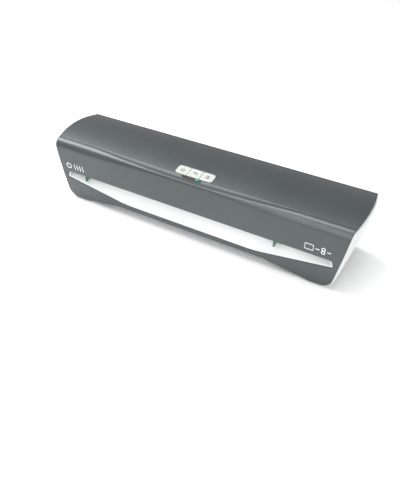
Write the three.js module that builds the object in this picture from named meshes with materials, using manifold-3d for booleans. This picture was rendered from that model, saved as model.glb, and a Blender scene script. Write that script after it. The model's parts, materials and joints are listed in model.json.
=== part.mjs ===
// Pouch laminator: a dark wrap-round cover over a light inner body, with four geared rollers, two heater
// shoes, a drive motor, a three-button bar, a status light strip and two sliding pouch guides.
// Millimetres, +Z up. X runs along the machine, pouches travel from the front (-Y) to the rear (+Y).
// The origin is on the ground under the middle of the machine.
import * as THREE from "three";
import { mergeVertices } from "three/addons/utils/BufferGeometryUtils.js";
import Module from "manifold-3d";

const wasm = await Module();
wasm.setup();

// ---- Driving dimensions -------------------------------------------------------------------------------
const GAP = 0.3; // clearance between pieces that touch

// cover
const WALL = 2.5;
const FRONT_Y = -51.5; // foremost line of the front face
const REAR_Y = 51.5;
const END_X = 226.5; // half length at the top edges
const END_TAPER = 16; // how far each end leans in from top to ground
const END_BULGE = 4.5; // how far each end bows out at mid-depth, at the top
const TOP_Z = 94; // height at which the lean ends
const RIDGE_STEP = 2; // how far the bowed ridge lies below the crease in the middle
const CREASE_Y = -40.3; // straight line where the crowned top begins
const CREASE_Z = 93.4;
const CROWN = 5.1; // rise of the top above the crease
const RIDGE_END_Y = -38.6;
const RIDGE_BOW = 10.2; // how far the ridge bows forward in the middle
const BOW_SPAN = 160; // half length of the bowed stretch
const REAR_ROUND = 3.2;
const REAR_EDGE_Z = 84; // lower edge of the turned-down rear
const CAP_LIP = 5; // how far each end cap reaches into the cover

// front opening and arched lower edge: half lengths and heights
const LIP_Z = 46.5;
const MOUTH = { topX: 208, endX: 211.5, endZ: 35.8, flatX: 104, flatZ: 19 };
const ARCH = { cornerX: 197, cornerZ: 2, cornerR: 17, flatX: 118, flatZ: 12 };

// feed path
const FEED_Z = 41.5;
const SHELF_Z = 39.3; // top of the lower guides
const ROOF_Z = 44.8; // underside of the upper guides
const GUIDE_T = 2;
const GUIDE_X = 183; // half length of the guides between the side frames
const RAMP_END_Y = -33;
const SHELF_END_Y = -16;
const EXIT_Y = 33;

// rollers, side frames, gears
const HOT = { y: -2, r: 11, core: 6.5, pitch: 11.2 };
const PULL = { y: 24, r: 7.9, core: 6, pitch: 8 };
const SLEEVE_X = 178; // half length of the silicone sleeves
const JOURNAL_R = 4;
const BORE_R = 4.1;
const FRAME_X = 184; // inner face of each side frame
const FRAME_T = 1.5;
const BUSH_R = 6;
const MODULE = 0.8; // gear module
const GEAR_X = 188.2;
const GEAR_W = 6;
const TEETH = { hot: 28, pull: 20, idler: 20, pinion: 12 };
const PINION_ANGLE = 50; // degrees above +Y, seen from +X, from the upper hot gear
const PIN_R = 2;

// button bar, on the slope of the top
const BAR = { x: 3, y: -30.5, z: 95.2, tilt: 10.3, length: 57, depth: 15.4, round: 4.5, proud: 0.8 };
const BUTTONS = ["standby_button", "reverse_button", "thickness_button"];
const BUTTON_GAP = 0.5;
const STRIP = { x: 0, y: -10.2, length: 29, depth: 2.4 }; // in the bar's own tilted frame
const SWITCH = { side: 6, top: -6.9, height: 3.4 };
const PRESS = 0.8; // travel of a button
const BOARD_T = 1.6;

// pouch guides: where the inner face of each stands
const FENCES = { left: -174.5, right: 130 };

// heater shoes: radii about a hot roller's axis, and half length
const SHOE = { inner: 12, outer: 14.6, x: 176 };

// rear
const PANEL_Y = REAR_Y - 0.2; // outer face of the rear panel
const PANEL_TOP = REAR_EDGE_Z - GAP - 0.2;
const EXIT_SLOT = { x: 181, low: 34.6, high: 48.6 };
const INLET = { x: -163, z: 20, width: 28, height: 20, depth: 17 };

// ground
const FLOOR_Z = 2.5; // underside of the base plate
const PLATE_T = 2.5;
const FOOT = { x: 182, y: 36, r: 8 };

// ---- Materials -----------------------------------------------------------------------------------------
const plastic = (color, roughness = 0.5) => new THREE.MeshStandardMaterial({ color, roughness, metalness: 0 });
const metal = (color, roughness = 0.35) => new THREE.MeshStandardMaterial({ color, roughness, metalness: 1 });
const MAT = {
  cover: new THREE.MeshStandardMaterial({ color: 0x5f6566, roughness: 0.38, metalness: 0.4 }),
  body: plastic(0xdfe3e1),
  dark: plastic(0x2a2e30, 0.3),
  green: plastic(0x1e9f6c, 0.3),
  red: plastic(0x8a2c2c, 0.3),
  button: plastic(0xe8e8e4, 0.4),
  board: plastic(0x1f5c3a, 0.6),
  black: plastic(0x1b1c1d, 0.55),
  nylon: plastic(0xe9e4d2, 0.5),
  silicone: plastic(0xb5452f, 0.8),
  rubber: plastic(0x222324, 0.9),
  steel: metal(0xb9bdc0),
  zinc: metal(0xa8adb0, 0.5),
  aluminium: metal(0xcfd2d4, 0.45),
  bronze: metal(0xb08d57, 0.45),
};

// ---- Solids --------------------------------------------------------------------------------------------
const RAD = Math.PI / 180;

// A closed three.js geometry as a manifold-3d solid.
function solid(geometry) {
  const g = geometry.clone();
  g.deleteAttribute("normal");
  g.deleteAttribute("uv");
  const merged = mergeVertices(g, 1e-4);
  const mesh = new wasm.Mesh({
    numProp: 3,
    vertProperties: new Float32Array(merged.attributes.position.array),
    triVerts: new Uint32Array(merged.index.array),
  });
  return new wasm.Manifold(mesh);
}

// A manifold-3d solid back as a three.js geometry.
function geometryOf(body) {
  const mesh = body.getMesh();
  const g = new THREE.BufferGeometry();
  g.setAttribute("position", new THREE.BufferAttribute(new Float32Array(mesh.vertProperties), 3));
  g.setIndex(new THREE.BufferAttribute(new Uint32Array(mesh.triVerts), 1));
  const flat = g.toNonIndexed();
  flat.computeVertexNormals();
  return flat;
}

const join = (first, ...rest) => geometryOf(rest.reduce((sum, g) => sum.add(solid(g)), solid(first)));
const cut = (first, ...rest) => geometryOf(rest.reduce((sum, g) => sum.subtract(solid(g)), solid(first)));

// A box from its lowest and highest corner.
function box(x0, y0, z0, x1, y1, z1) {
  const g = new THREE.BoxGeometry(x1 - x0, y1 - y0, z1 - z0);
  return g.translate((x0 + x1) / 2, (y0 + y1) / 2, (z0 + z1) / 2);
}

// A shape drawn in (y, z), extruded from x0 to x1.
function alongX(shape, x0, x1, curveSegments = 8) {
  const g = new THREE.ExtrudeGeometry(shape, { depth: x1 - x0, bevelEnabled: false, curveSegments });
  const turn = new THREE.Matrix4().set(0, 0, 1, x0, 1, 0, 0, 0, 0, 1, 0, 0, 0, 0, 0, 1);
  return g.applyMatrix4(turn);
}

// A shape drawn in (x, z), extruded from y0 to y1.
function alongY(shape, y0, y1, curveSegments = 8) {
  const g = new THREE.ExtrudeGeometry(shape, { depth: y1 - y0, bevelEnabled: false, curveSegments });
  const turn = new THREE.Matrix4().set(1, 0, 0, 0, 0, 0, -1, y1, 0, 1, 0, 0, 0, 0, 0, 1);
  return g.applyMatrix4(turn);
}

const polygon = (points) => new THREE.Shape(points.map(([a, b]) => new THREE.Vector2(a, b)));

// A rectangle with round corners, centred on (a, b).
function roundRect(a, b, width, height, r) {
  const shape = new THREE.Shape();
  const [w, h] = [width / 2 - r, height / 2 - r];
  shape.absarc(a + w, b + h, r, 0, 90 * RAD);
  shape.absarc(a - w, b + h, r, 90 * RAD, 180 * RAD);
  shape.absarc(a - w, b - h, r, 180 * RAD, 270 * RAD);
  shape.absarc(a + w, b - h, r, 270 * RAD, 360 * RAD);
  shape.closePath();
  return shape;
}

function circlePath(a, b, r) {
  const path = new THREE.Path();
  path.absarc(a, b, r, 0, 360 * RAD);
  return path;
}

// A turned piece round the X axis through (y, z): the profile is a list of [x, radius].
function turned(profile, y, z, segments = 16) {
  const points = profile.map(([x, r]) => new THREE.Vector2(r, x));
  const g = new THREE.LatheGeometry(points, segments);
  const turn = new THREE.Matrix4().set(0, 1, 0, 0, 1, 0, 0, y, 0, 0, -1, z, 0, 0, 0, 1);
  return g.applyMatrix4(turn);
}

// A turned piece round a vertical axis through (x, y): the profile is a list of [z, radius].
function turnedUp(profile, x, y, segments = 12) {
  const points = profile.map(([z, r]) => new THREE.Vector2(r, z));
  return new THREE.LatheGeometry(points, segments).rotateX(90 * RAD).translate(x, y, 0);
}

// A closed surface through rings of points, each with the same number of points, capped at both ends.
function lofted(rings) {
  const n = rings[0].length;
  const index = [];
  for (let i = 0; i + 1 < rings.length; i++) {
    for (let j = 0; j < n; j++) {
      const [a, b] = [i * n + j, i * n + ((j + 1) % n)];
      index.push(a, b, b + n, a, b + n, a + n);
    }
  }
  const flat = rings.flat();
  for (const [ring, start, flip] of [[rings[0], 0, true], [rings.at(-1), (rings.length - 1) * n, false]]) {
    const middle = flat.length;
    flat.push([0, 1, 2].map((k) => ring.reduce((sum, p) => sum + p[k], 0) / n));
    for (let j = 0; j < n; j++) {
      const [a, b] = [start + j, start + ((j + 1) % n)];
      index.push(...(flip ? [b, a, middle] : [a, b, middle]));
    }
  }
  const g = new THREE.BufferGeometry();
  g.setAttribute("position", new THREE.Float32BufferAttribute(flat.flat(), 3));
  g.setIndex(index);
  return g;
}

const root = new THREE.Group();
function add(name, geometry, material, parent = root) {
  const mesh = new THREE.Mesh(geometry, material);
  mesh.name = name;
  parent.add(mesh);
  return mesh;
}

// ---- The cover's surface -------------------------------------------------------------------------------
// Half length of the machine at a point of the section: the ends lean in downwards and bow out at mid-depth.
function endAt(y, z) {
  const lean = END_TAPER * Math.max(0, 1 - z / TOP_Z) ** 1.2;
  const bow = END_BULGE * Math.max(0, 1 - (y / 44) ** 2) * Math.min(1, Math.max(0, z / TOP_Z));
  return END_X - lean + bow;
}

const frontFace = (z) => FRONT_Y + 1.5 * ((z - 60) / 60) ** 2;
const bowAt = (x) => Math.max(0, 1 - (x / BOW_SPAN) ** 2) ** 1.2;
const crownAt = (y) => CREASE_Z + CROWN * (1 - ((y - 4) / (4 - CREASE_Y)) ** 2);

// A section of the cover, [y, z] from the front lower edge, over the top, to the rear edge: bow is 0 at the
// ends, and 1 in the middle.
function sectionFor(bow) {
  const ridgeY = RIDGE_END_Y - RIDGE_BOW * bow;
  const creaseY = Math.max(CREASE_Y, ridgeY + 0.8);
  const ridgeZ = crownAt(creaseY) - 0.15 - RIDGE_STEP * bow;
  const drop = 13 - 7 * bow;
  const cornerZ = ridgeZ - drop;
  const faceY = frontFace(cornerZ);
  const points = [];
  for (let i = 0; i <= 5; i++) {
    const z = 1 + (cornerZ - 1) * (i / 5);
    points.push([frontFace(z), z]);
  }
  for (let i = 1; i <= 5; i++) {
    const a = i * 18 * RAD;
    points.push([ridgeY - (ridgeY - faceY) * Math.cos(a), cornerZ + drop * Math.sin(a)]);
  }
  const rearY = REAR_Y - REAR_ROUND;
  for (let i = 0; i <= 7; i++) {
    const y = creaseY + (rearY - creaseY) * (i / 7);
    points.push([y, crownAt(y)]);
  }
  const rearZ = crownAt(rearY) - REAR_ROUND;
  for (let i = 1; i <= 3; i++) {
    const a = (90 - i * 30) * RAD;
    points.push([rearY + REAR_ROUND * Math.cos(a), rearZ + REAR_ROUND * Math.sin(a)]);
  }
  points.push([REAR_Y, REAR_EDGE_Z]);
  return points;
}

const endSection = sectionFor(0);
const middleSection = sectionFor(1);

// The cover's outer section at station x.
function coverSection(x) {
  const bow = bowAt(x);
  return endSection.map(([y, z], i) => [y + (middleSection[i][0] - y) * bow, z + (middleSection[i][1] - z) * bow]);
}

// The same line moved inwards by a distance.
function inset(section, distance) {
  return section.map(([y, z], i) => {
    const [a, b] = [section[Math.max(0, i - 1)], section[Math.min(section.length - 1, i + 1)]];
    const [dy, dz] = [b[0] - a[0], b[1] - a[1]];
    const length = Math.hypot(dy, dz);
    return [y + (distance * dz) / length, z - (distance * dy) / length];
  });
}

// ---- Cover ---------------------------------------------------------------------------------------------
function mouthShape() {
  const { topX, endX, endZ, flatX, flatZ } = MOUTH;
  return polygon([
    [-flatX, flatZ], [flatX, flatZ], [endX, endZ], [topX, LIP_Z], [-topX, LIP_Z], [-endX, endZ],
  ]);
}

// What is cut away under the front: the arch, and the round lower corners at the ends.
function archShape() {
  const { cornerX, cornerZ, cornerR, flatX, flatZ } = ARCH;
  const shape = new THREE.Shape();
  shape.moveTo(-240, -10);
  shape.lineTo(240, -10);
  shape.lineTo(240, cornerZ + cornerR);
  shape.lineTo(cornerX + cornerR, cornerZ + cornerR);
  shape.absarc(cornerX, cornerZ + cornerR, cornerR, 0, -90 * RAD, true);
  shape.lineTo(flatX, flatZ);
  shape.lineTo(-flatX, flatZ);
  shape.lineTo(-cornerX, cornerZ);
  shape.absarc(-cornerX, cornerZ + cornerR, cornerR, -90 * RAD, -180 * RAD, true);
  shape.lineTo(-240, cornerZ + cornerR);
  shape.closePath();
  return shape;
}

// The group that the button bar, its board and its light strip stand in.
const tilted = new THREE.Group();
tilted.position.set(BAR.x, BAR.y, BAR.z);
tilted.rotation.x = BAR.tilt * RAD;
tilted.updateMatrixWorld(true);
root.add(tilted);

// A shape drawn on the slope of the top, as a solid from w0 to w1 along its normal.
const onSlope = (shape, w0, w1) =>
  new THREE.ExtrudeGeometry(shape, { depth: w1 - w0, bevelEnabled: false, curveSegments: 5 }).translate(0, 0, w0);

function topCover() {
  const stations = [];
  for (let i = -9; i <= 9; i++) stations.push(i / 9);
  const rings = stations.map((t) => {
    const outer = coverSection(t * END_X);
    const loop = [...outer, ...inset(outer, WALL).reverse()];
    return loop.map(([y, z]) => [t * endAt(y, z), y, z]);
  });
  const n = rings[0].length;
  const flat = rings.flat();
  const index = [];
  for (let i = 0; i + 1 < rings.length; i++) {
    for (let j = 0; j < n; j++) {
      const [a, b] = [i * n + j, i * n + ((j + 1) % n)];
      index.push(a, b + n, b, a, a + n, b + n);
    }
  }
  for (let j = 0; j < n / 2 - 1; j++) {
    const last = (rings.length - 1) * n;
    const quad = [j, j + 1, n - 2 - j, n - 1 - j];
    index.push(quad[0], quad[1], quad[2], quad[0], quad[2], quad[3]);
    const [p, q, r, s] = quad.map((k) => k + last);
    index.push(p, r, q, p, s, r);
  }
  const g = new THREE.BufferGeometry();
  g.setAttribute("position", new THREE.Float32BufferAttribute(flat.flat(), 3));
  g.setIndex(index);
  const bar = onSlope(roundRect(0, 0, BAR.length + 1, BAR.depth + 1, BAR.round), -8, 8);
  const strip = onSlope(roundRect(STRIP.x, STRIP.y, STRIP.length + 0.6, STRIP.depth + 0.6, 1.2), -8, 8);
  return cut(
    g,
    alongY(mouthShape(), -60, -40),
    alongY(archShape(), -60, -30),
    bar.applyMatrix4(tilted.matrixWorld),
    strip.applyMatrix4(tilted.matrixWorld),
  );
}

// ---- Light inner body ----------------------------------------------------------------------------------
// The section of an end cap: inside the cover in front and on top, level with the rear panel behind.
function capSection() {
  const under = inset(coverSection(END_X), WALL + GAP).filter(([, z]) => z > 13);
  const line = under.slice(0, -1);
  line.push([REAR_Y - WALL - GAP, PANEL_TOP]);
  line.push([PANEL_Y, PANEL_TOP], [PANEL_Y, 60], [PANEL_Y, 40], [PANEL_Y, 20], [PANEL_Y, 5.5]);
  for (const a of [-30, -60, -90]) {
    line.push([PANEL_Y - 3 + 3 * Math.cos(a * RAD), 5.5 + 3 * Math.sin(a * RAD)]);
  }
  line.push([20, 2.5], [-10, 2.5]);
  for (const a of [-90, -120, -150]) {
    line.push([-37.5 + 10 * Math.cos(a * RAD), 12.5 + 10 * Math.sin(a * RAD)]);
  }
  return line;
}

function endCap(side) {
  const section = capSection();
  const centre = [0, 48];
  // scale of the section about its centre, and distance out from the cover's rim
  const layers = [
    [0.6, -0.1], [0.93, -0.8], [0.94, -CAP_LIP], [1, -CAP_LIP], [1, 0.4], [0.985, 1.5], [0.94, 2.4], [0.6, 2.8],
  ];
  const rings = layers.map(([scale, out]) =>
    section.map(([py, pz]) => {
      const [y, z] = [centre[0] + scale * (py - centre[0]), centre[1] + scale * (pz - centre[1])];
      return [side * (endAt(y, z) + out), y, z];
    }),
  );
  return lofted(side > 0 ? rings.map((ring) => ring.slice().reverse()) : rings);
}

// Cutters for a row of upright vent slots through the rear panel.
function ventRow(x0, x1, pitch, z, height) {
  const slots = [];
  for (let x = x0; x <= x1 + 0.01; x += pitch) {
    slots.push(box(x - 1.6, REAR_Y - 5, z - height / 2, x + 1.6, REAR_Y + 2, z + height / 2));
  }
  return slots;
}

function rearPanel() {
  const end = (z) => endAt(50, z) - CAP_LIP - GAP;
  const [low, high] = [FLOOR_Z + 0.5, PANEL_TOP];
  const sheet = alongY(polygon([[-end(low), low], [end(low), low], [end(high), high], [-end(high), high]]),
    REAR_Y - 2.5, PANEL_Y);
  const slot = box(-EXIT_SLOT.x, REAR_Y - 5, EXIT_SLOT.low, EXIT_SLOT.x, REAR_Y + 2, EXIT_SLOT.high);
  const { x, z, width, height } = INLET;
  const socket = alongY(roundRect(x, z, width + 0.6, height + 0.6, 1.5), REAR_Y - 5, REAR_Y + 2, 3);
  return cut(sheet, slot, socket, ...ventRow(-150, -50, 10, 66, 16), ...ventRow(50, 150, 10, 66, 16));
}

const feetPlaces = () => [-1, 1].flatMap((sx) => [-1, 1].map((sy) => [sx * FOOT.x, sy * FOOT.y]));

// The flat floor of the machine. Its front edge stands back under the arch, between the front feet.
function basePlate() {
  const [x, front, rear] = [END_X - END_TAPER - CAP_LIP, FRONT_Y + 4.3, REAR_Y - 2.9];
  const [bayX, bayY] = [158, -39.5];
  const outline = polygon([[-x, front], [-bayX - 8, front], [-bayX, bayY], [bayX, bayY], [bayX + 8, front], [x, front],
    [x, rear], [-x, rear]]);
  const plate = new THREE.ExtrudeGeometry(outline, { depth: PLATE_T, bevelEnabled: false }).translate(0, 0, FLOOR_Z);
  const feet = feetPlaces().map(([fx, fy]) => turnedUp([[2, 0], [2, FOOT.r + GAP], [3.4, FOOT.r + GAP], [3.4, 0]],
    fx, fy));
  const vents = [];
  for (let vx = -120; vx <= 120; vx += 24) vents.push(box(vx - 8, -30, 1, vx + 8, -26, 6));
  return cut(plate, ...feet, ...vents);
}

// ---- Pouch path ----------------------------------------------------------------------------------------
// Height of the opening's lower edge at x.
function mouthFloor(x) {
  const { endX, endZ, flatX, flatZ } = MOUTH;
  const t = Math.max(0, (Math.abs(x) - flatX) / (endX - flatX));
  return flatZ + (endZ - flatZ) * t;
}

function lowerEntryGuide() {
  const half = MOUTH.endX - 1.3;
  const stations = [-1, -0.87, -0.75, -0.625, -0.503, 0.503, 0.625, 0.75, 0.87, 1];
  const rings = stations.map((t) => {
    const x = t * half;
    const low = mouthFloor(x) + GAP + 0.1;
    const rise = SHELF_Z - low;
    const ramp = [[-42, low + rise * 0.66], [-37, low + rise * 0.92], [RAMP_END_Y, SHELF_Z]];
    const under = ramp.map(([y, z]) => [y, z - GUIDE_T]).reverse();
    const section = [[-50.2, low + 1.4], [-47.5, low + 1.4 + rise * 0.2], ...ramp, ...under,
      [-47.4, low - 1], [-47.4, low], [-50.2, low]];
    return section.map(([y, z]) => [x, y, z]);
  });
  const ramp = lofted(rings.map((ring) => ring.slice().reverse()));
  const shelf = box(-GUIDE_X, RAMP_END_Y - 0.6, SHELF_Z - GUIDE_T, GUIDE_X, SHELF_END_Y, SHELF_Z);
  const wall = (side) => {
    const top = ROOF_Z - GAP;
    const line = [[half + 0.3, 36.6], [MOUTH.topX - 0.1, top], [MOUTH.topX - 1.6, top], [half - 1.2, 36.6]];
    const end = polygon(line.map(([x, z]) => [side * x, z]));
    return alongY(end, -50, RAMP_END_Y);
  };
  const track = box(-195, -36.4, 38.2, 195, -34.4, 44);
  return geometryOf(
    solid(ramp).add(solid(shelf)).add(solid(wall(-1))).add(solid(wall(1))).subtract(solid(track)),
  );
}

function upperEntryGuide() {
  const front = polygon([[-48.4, 49.2], [-48.4, 47], [-33, ROOF_Z], [-31.6, ROOF_Z], [-31.6, ROOF_Z + 2],
    [-33, ROOF_Z + 2]]);
  const inside = polygon([[-32.4, ROOF_Z], [SHELF_END_Y, ROOF_Z - 0.5], [SHELF_END_Y, ROOF_Z + 1.4],
    [-32.4, ROOF_Z + 2]]);
  return join(alongX(front, 1 - MOUTH.topX, MOUTH.topX - 1), alongX(inside, -GUIDE_X, GUIDE_X));
}

function exitGuide(sign) {
  const z = (d) => FEED_Z + sign * d;
  const points = [[EXIT_Y, z(2.8)], [44, z(2.8)], [48.5, z(3.6)], [REAR_Y - 0.3, z(5.4)], [REAR_Y - 0.9, z(6.7)],
    [47.6, z(5.6)], [43.6, z(4.8)], [EXIT_Y, z(4.8)]];
  return alongX(polygon(sign > 0 ? points : points.reverse()), -180, 180);
}

// A pouch guide: an upright fence with a foot on the outer side and a tongue in the track.
function pouchGuide(side, face) {
  const fence = box(0, -51.2, SHELF_Z + GAP, 2.6, -33.6, ROOF_Z - GAP);
  const nose = box(0, -51.2, 33.6, 2.6, -44, SHELF_Z + 1);
  const ramp = alongX(polygon([[-52, 30], [-41.2, 30], [-41.2, SHELF_Z + GAP], [-43.8, SHELF_Z + GAP],
    [-51.2, 36.4], [-52, 36.4]]), -1, 4);
  const foot = box(1, -43.6, SHELF_Z + GAP, 9, -33.6, SHELF_Z + 1.6);
  const tongue = box(1, -36.1, 38.5, 9, -34.7, SHELF_Z + 1);
  const body = solid(fence).add(solid(nose)).subtract(solid(ramp)).add(solid(foot)).add(solid(tongue));
  return geometryOf(side > 0 ? body : body.mirror([1, 0, 0])).translate(face, 0, 0);
}

// ---- Rollers, frames and gears -------------------------------------------------------------------------
const ROLLERS = {
  lower_hot: { ...HOT, z: FEED_Z - HOT.pitch, teeth: TEETH.hot },
  upper_hot: { ...HOT, z: FEED_Z + HOT.pitch, teeth: TEETH.hot },
  lower_pull: { ...PULL, z: FEED_Z - PULL.pitch, teeth: TEETH.pull },
  upper_pull: { ...PULL, z: FEED_Z + PULL.pitch, teeth: TEETH.pull },
};

function shaft({ core, y, z }) {
  const profile = [[-188.2, 0], [-188.2, JOURNAL_R], [-SLEEVE_X - 1, JOURNAL_R], [-SLEEVE_X - 1, core],
    [SLEEVE_X + 1, core], [SLEEVE_X + 1, JOURNAL_R], [GEAR_X + GEAR_W + 1.5, JOURNAL_R], [GEAR_X + GEAR_W + 1.5, 0]];
  return turned(profile, y, z);
}

function sleeve({ core, r, y, z }) {
  const inner = core + 0.1;
  const profile = [[-SLEEVE_X, inner], [-SLEEVE_X, r - 0.4], [-SLEEVE_X + 0.6, r], [SLEEVE_X - 0.6, r],
    [SLEEVE_X, r - 0.4], [SLEEVE_X, inner], [-SLEEVE_X, inner]];
  return turned(profile, y, z);
}

function bush(side, { y, z }) {
  const x = (d) => side * (FRAME_X + d);
  const profile = [[x(-1.6), BORE_R], [x(-1.6), BUSH_R + 1.8], [x(-GAP), BUSH_R + 1.8], [x(-GAP), BUSH_R],
    [x(3), BUSH_R], [x(3), BORE_R], [x(-1.6), BORE_R]];
  return turned(side > 0 ? profile : profile.reverse(), y, z);
}

// A side frame: bush holes, the upper hot one open upwards for its pressure spring, and the idler's pin hole.
function sideFrame(side) {
  const shape = polygon([[-30, 6], [34, 6], [42, 14], [42, 72], [34, 84], [-24, 84], [-30, 78]]);
  const hole = BUSH_R + GAP;
  for (const name of ["lower_hot", "lower_pull", "upper_pull"]) {
    shape.holes.push(circlePath(ROLLERS[name].y, ROLLERS[name].z, hole));
  }
  const { y, z } = ROLLERS.upper_hot;
  const slot = new THREE.Path();
  slot.absarc(y, z, hole, 180 * RAD, 360 * RAD);
  slot.lineTo(y + hole, 77);
  slot.lineTo(y - hole, 77);
  slot.closePath();
  shape.holes.push(slot);
  if (side > 0) shape.holes.push(circlePath(IDLER.y, IDLER.z, PIN_R + GAP));
  const [a, b] = side > 0 ? [FRAME_X, FRAME_X + FRAME_T] : [-FRAME_X - FRAME_T, -FRAME_X];
  return alongX(shape, a, b, 8);
}

function pressureSpring(side) {
  const [coil, wire, turns] = [2.6, 0.5, 5];
  const { y, z } = ROLLERS.upper_hot;
  const [low, high] = [z + BUSH_R + 2.8, 76];
  class Helix extends THREE.Curve {
    getPoint(t) {
      const a = 2 * Math.PI * turns * t;
      const x = side * (FRAME_X + FRAME_T / 2) + coil * Math.cos(a);
      return new THREE.Vector3(x, y + coil * Math.sin(a), low + (high - low) * t);
    }
  }
  const section = new THREE.Shape();
  section.absarc(0, 0, wire, 0, 360 * RAD);
  const settings = { steps: turns * 8, extrudePath: new Helix(), bevelEnabled: false, curveSegments: 3 };
  return new THREE.ExtrudeGeometry(section, settings);
}

// The idler stands under the lower gears, in mesh with both.
const IDLER = (() => {
  const [a, b] = [ROLLERS.lower_hot, ROLLERS.lower_pull];
  const r = (TEETH.idler * MODULE) / 2;
  const [ra, rb] = [a.pitch + r, b.pitch + r];
  const [dy, dz] = [b.y - a.y, b.z - a.z];
  const base = Math.hypot(dy, dz);
  const along = (ra ** 2 - rb ** 2 + base ** 2) / (2 * base);
  const down = Math.sqrt(ra ** 2 - along ** 2);
  return { y: a.y + (along * dy + down * dz) / base, z: a.z + (along * dz - down * dy) / base, teeth: TEETH.idler };
})();

const PINION = (() => {
  const { y, z, pitch } = ROLLERS.upper_hot;
  const reach = pitch + (TEETH.pinion * MODULE) / 2;
  const a = PINION_ANGLE * RAD;
  return { y: y + reach * Math.cos(a), z: z + reach * Math.sin(a), teeth: TEETH.pinion };
})();

// The angle of a tooth of gear b that puts it in mesh with gear a, which has a tooth at angle phase.
function meshPhase(a, phase, b) {
  const line = Math.atan2(b.z - a.z, b.y - a.y);
  return line + Math.PI - ((phase - line) * a.teeth) / b.teeth + Math.PI / b.teeth;
}

// A spur gear with a tooth at angle phase: each tooth is a trapezium with backlash on both sides.
function gear({ y, z, teeth }, phase, boreR, x0 = GEAR_X, width = GEAR_W) {
  const r = (teeth * MODULE) / 2;
  const step = (2 * Math.PI) / teeth;
  const outline = [];
  for (let i = 0; i < teeth; i++) {
    const at = phase + i * step;
    for (const [radius, share] of [[r - 1.05 * MODULE, -0.29], [r + 0.85 * MODULE, -0.12], [r + 0.85 * MODULE, 0.12],
      [r - 1.05 * MODULE, 0.29]]) {
      const a = at + share * step;
      outline.push([y + radius * Math.cos(a), z + radius * Math.sin(a)]);
    }
  }
  const shape = polygon(outline);
  if (boreR) shape.holes.push(circlePath(y, z, boreR));
  return alongX(shape, x0, x0 + width, 12);
}

function motor() {
  const { y, z } = PINION;
  const [near, far, r] = [GEAR_X + GEAR_W + 4.6, 217, 23];
  const can = turned([[near, 0], [near, r - 1], [near + 1, r], [far - 1, r], [far, r - 1], [far, 0]], y, z, 24);
  const ears = box(near, y - 32, z - 5, near + 1.5, y + 32, z + 5);
  const post = (sy) => turned([[FRAME_X + FRAME_T + GAP, 0], [FRAME_X + FRAME_T + GAP, 3], [near + 1, 3],
    [near + 1, 0]], y + sy * 28.5, z, 12);
  return join(can, ears, post(-1), post(1));
}

function motorPinion(phase) {
  const { y, z } = PINION;
  const stub = turned([[GEAR_X - 1, 0], [GEAR_X - 1, PIN_R], [GEAR_X + GEAR_W + 4.2, PIN_R],
    [GEAR_X + GEAR_W + 4.2, 0]], y, z, 12);
  return join(gear(PINION, phase, 0), stub);
}

// A heater shoe: a thick aluminium channel curved round the side of a hot roller away from the nip.
function heaterShoe({ y, z }, sign) {
  const shape = new THREE.Shape();
  const [from, to] = sign > 0 ? [62, 178] : [182, 298];
  shape.absarc(y, z, SHOE.outer, from * RAD, to * RAD, false);
  shape.absarc(y, z, SHOE.inner, to * RAD, from * RAD, true);
  shape.closePath();
  return alongX(shape, -SHOE.x, SHOE.x, 10);
}

// ---- Electrics -----------------------------------------------------------------------------------------
function button(index) {
  const pitch = BAR.length / BUTTONS.length;
  const x0 = -BAR.length / 2 + index * pitch + (index ? BUTTON_GAP / 2 : 0);
  const x1 = -BAR.length / 2 + (index + 1) * pitch - (index < 2 ? BUTTON_GAP / 2 : 0);
  const cap = solid(onSlope(roundRect(0, 0, BAR.length, BAR.depth, BAR.round - 0.5), -2.4, BAR.proud));
  const slice = solid(box(x0, -20, -10, x1, 20, 10));
  const middle = (index - 1) * pitch;
  const stem = solid(box(middle - 1.6, -1.6, SWITCH.top + PRESS, middle + 1.6, 1.6, -2));
  const rim = solid(box(x0 + 4, -BAR.depth / 2 + 2, -4.4, x1 - 4, BAR.depth / 2 - 2, -2));
  const hollow = solid(box(x0 + 5, -BAR.depth / 2 + 3, -5, x1 - 5, BAR.depth / 2 - 3, -2.4));
  return geometryOf(cap.intersect(slice).add(rim.subtract(hollow)).add(stem));
}

function tactSwitch(index) {
  const middle = (index - 1) * (BAR.length / BUTTONS.length);
  const [h, low] = [SWITCH.side / 2, SWITCH.top - SWITCH.height];
  return join(
    box(middle - h, -h, low, middle + h, h, SWITCH.top - 1),
    box(middle - 1.6, -1.6, SWITCH.top - 1.2, middle + 1.6, 1.6, SWITCH.top - GAP),
  );
}

function lightStrip() {
  return onSlope(roundRect(STRIP.x, STRIP.y, STRIP.length, STRIP.depth, 1.1), -3.4, 0.05);
}

function controlBoard() {
  const top = SWITCH.top - SWITCH.height - 0.1;
  return box(-34, -13, top - BOARD_T, 34, 9, top);
}

const lightChip = (x) => box(x - 1.6, STRIP.y - 0.9, SWITCH.top - SWITCH.height, x + 1.6, STRIP.y + 0.9, -3.8);

function powerBoard() {
  const x = -FRAME_X - FRAME_T - 4;
  return join(
    box(x - BOARD_T, -26, 10, x, 34, 74),
    box(x - 14, -20, 44, x - 1, 2, 66),
    box(x - 12, 8, 46, x - 1, 26, 62),
    box(x - 9, -18, 20, x - 1, -4, 34),
    box(x - 11, 8, 20, x - 1, 26, 36),
  );
}

function mainsInlet() {
  const { x, z, width, height, depth } = INLET;
  const face = REAR_Y - 0.3;
  const block = alongY(roundRect(x, z, width, height, 1), face - depth, face, 3);
  const socket = alongY(roundRect(x, z, width - 3.4, height - 3.4, 3), face - 13, face + 5, 3);
  const pins = [[-7, 1.6], [7, 1.6], [0, -2.4]].map(([px, pz]) =>
    box(x + px - 1, face - 14, z + pz - 2, x + px + 1, face - 3, z + pz + 2));
  return geometryOf(pins.reduce((sum, pin) => sum.add(solid(pin)), solid(block).subtract(solid(socket))));
}

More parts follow.
